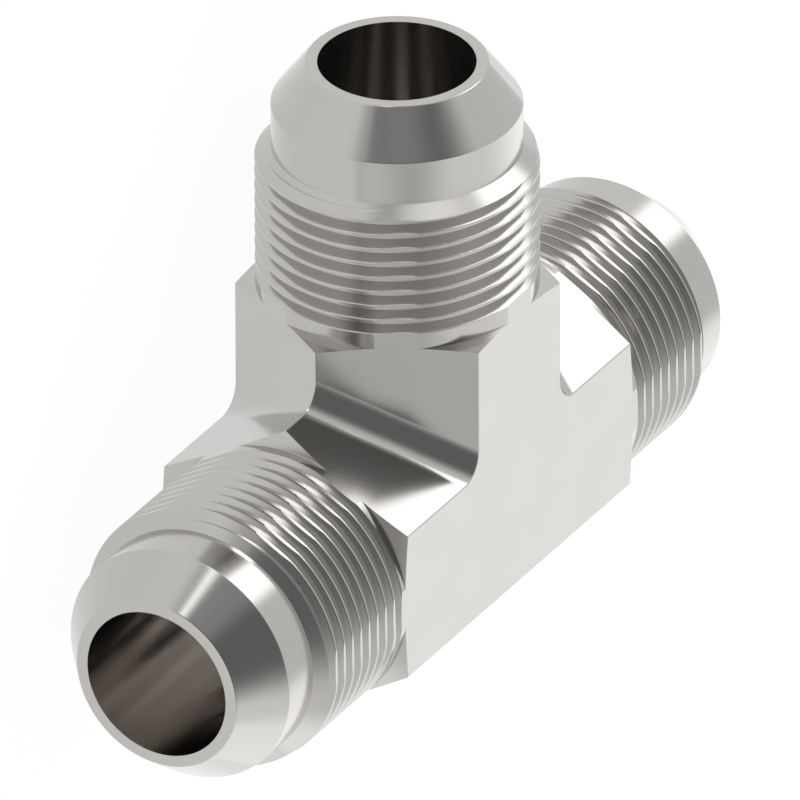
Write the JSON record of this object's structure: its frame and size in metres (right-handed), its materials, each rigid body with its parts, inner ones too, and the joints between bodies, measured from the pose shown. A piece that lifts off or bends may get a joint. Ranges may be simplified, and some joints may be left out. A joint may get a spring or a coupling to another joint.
{
  "type": "tee adapter",
  "caption": "Tube tee with a hexagonal body, male threads and conical flare seats on its ends, and plain bores that meet inside.",
  "frame": {"origin": "where the axes of the run and the branch cross", "axes": "+X along the run, +Y along the branch towards its nose, +Z out of the upper of the two flat sides that the tee lies on"},
  "size_m": [0.0742, 0.0498, 0.022],
  "materials": {
    "machined_steel": "bright machined stainless steel"
  },
  "bodies": {
    "root": {"tee_body": "machined_steel"}
  },
  "joints": []
}
